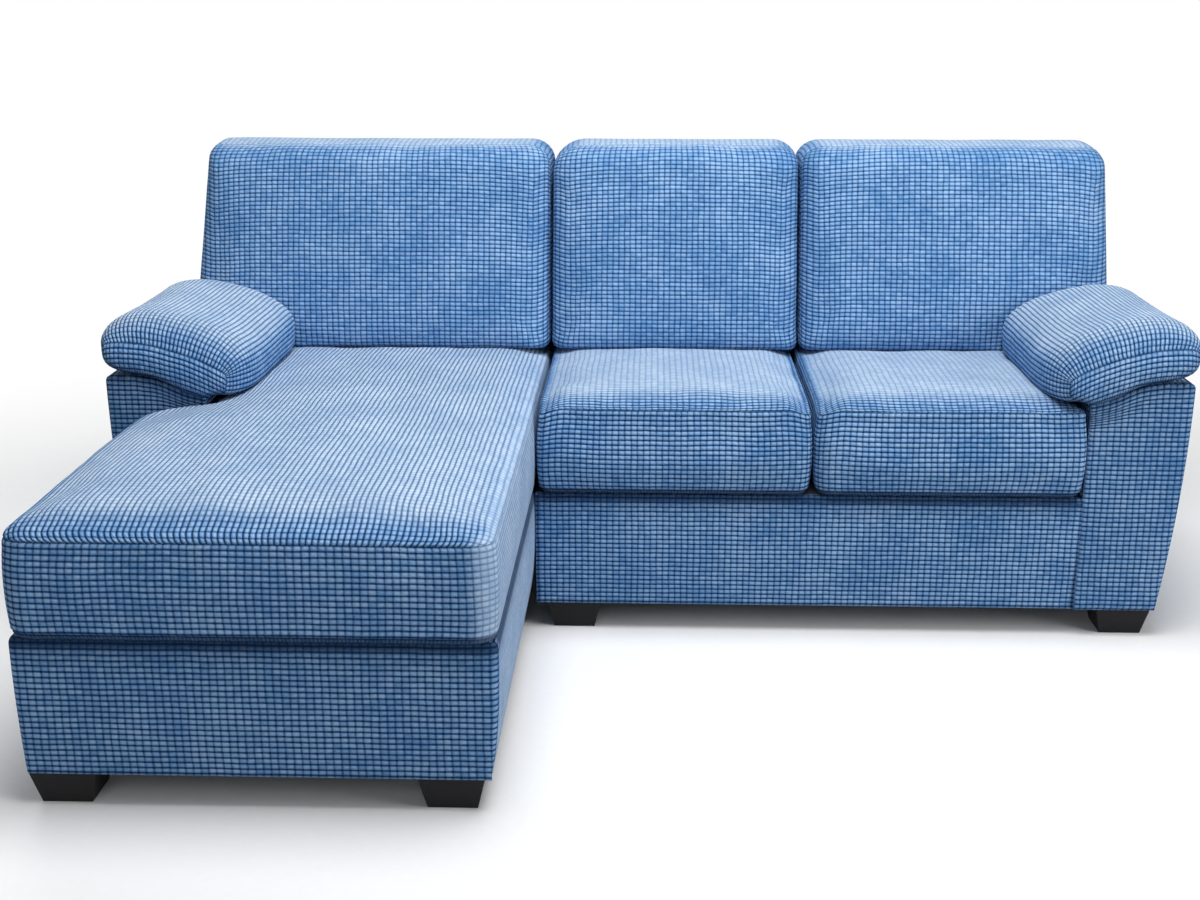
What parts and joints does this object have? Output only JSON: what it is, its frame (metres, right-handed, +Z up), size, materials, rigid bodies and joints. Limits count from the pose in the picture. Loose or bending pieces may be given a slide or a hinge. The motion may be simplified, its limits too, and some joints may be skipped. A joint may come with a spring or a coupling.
{
  "type": "chaise sectional sofa",
  "caption": "Low-armed upholstered sofa with a chaise on its left, loose box cushions for seat and back, draped arm pillows, and square tapered feet.",
  "frame": {"origin": "on the floor under the middle of the sofa's overall width and depth", "axes": "+X to the right of a viewer in front of the sofa, along its width; the front faces -Y; +Z is up"},
  "size_m": [2.236, 1.75, 0.97],
  "materials": {
    "upholstery": "soft",
    "lining": "soft",
    "timber": "matte",
    "plywood": "matte",
    "foam": "matte",
    "steel": "satin",
    "zip": "matte",
    "foot": "satin"
  },
  "bodies": {
    "loveseat": {"love_long_rails": "timber", "love_end_rails": "timber", "love_corner_blocks": "timber", "love_springs": "steel", "love_deck": "lining", "love_front_band": "upholstery", "love_end_cover": "lining", "love_outside_back": "upholstery", "love_back_posts": "plywood", "love_back_rails": "timber", "love_back_webbing": "lining", "love_inside_back": "upholstery", "love_dust_cover": "lining", "love_feet": "foot", "love_foot_bolts": "steel", "love_hook_plates": "steel", "right_arm_frame": "plywood", "right_arm_front_panel": "upholstery", "right_arm_outside_panel": "upholstery", "right_arm_inside_panel": "upholstery", "right_arm_pillow": "upholstery"},
    "chaise": {"chaise_side_rails": "timber", "chaise_cross_rails": "timber", "chaise_corner_blocks": "timber", "chaise_springs": "steel", "chaise_deck": "lining", "chaise_front_band": "upholstery", "chaise_right_cover": "upholstery", "chaise_left_cover": "upholstery", "chaise_outside_back": "upholstery", "chaise_back_posts": "plywood", "chaise_back_rails": "timber", "chaise_back_webbing": "lining", "chaise_inside_back": "upholstery", "chaise_dust_cover": "lining", "chaise_feet": "foot", "chaise_foot_bolts": "steel", "chaise_socket_plates": "steel", "left_arm_frame": "plywood", "left_arm_front_panel": "upholstery", "left_arm_outside_panel": "upholstery", "left_arm_inside_panel": "upholstery", "left_arm_pillow": "upholstery"},
    "chaise_cushion": {"chaise_cushion_cover": "upholstery", "chaise_cushion_foam": "foam", "chaise_cushion_zip": "zip"},
    "seat_cushion_left": {"left_seat_cover": "upholstery", "left_seat_foam": "foam", "left_seat_zip": "zip"},
    "seat_cushion_right": {"right_seat_cover": "upholstery", "right_seat_foam": "foam", "right_seat_zip": "zip"},
    "back_cushion_left": {"left_back_cover": "upholstery", "left_back_foam": "foam"},
    "back_cushion_middle": {"middle_back_cover": "upholstery", "middle_back_foam": "foam"},
    "back_cushion_right": {"right_back_cover": "upholstery", "right_back_foam": "foam"}
  },
  "joints": [
    {"name": "chaise_lift", "type": "slide", "parent": "loveseat", "child": "chaise", "axis": [0, 0, 1], "range_m": [0, 0.08]},
    {"name": "chaise_cushion_slide", "type": "slide", "parent": "chaise", "child": "chaise_cushion", "axis": [0, -1, 0], "range_m": [0, 0.6]},
    {"name": "left_seat_slide", "type": "slide", "parent": "loveseat", "child": "seat_cushion_left", "axis": [0, -1, 0], "range_m": [0, 0.6]},
    {"name": "right_seat_slide", "type": "slide", "parent": "loveseat", "child": "seat_cushion_right", "axis": [0, -1, 0], "range_m": [0, 0.6]},
    {"name": "left_back_lift", "type": "slide", "parent": "chaise", "child": "back_cushion_left", "axis": [0, 0.2419, 0.9703], "range_m": [0, 0.45]},
    {"name": "middle_back_lift", "type": "slide", "parent": "loveseat", "child": "back_cushion_middle", "axis": [0, 0.2419, 0.9703], "range_m": [0, 0.45]},
    {"name": "right_back_lift", "type": "slide", "parent": "loveseat", "child": "back_cushion_right", "axis": [0, 0.2419, 0.9703], "range_m": [0, 0.45]}
  ]
}
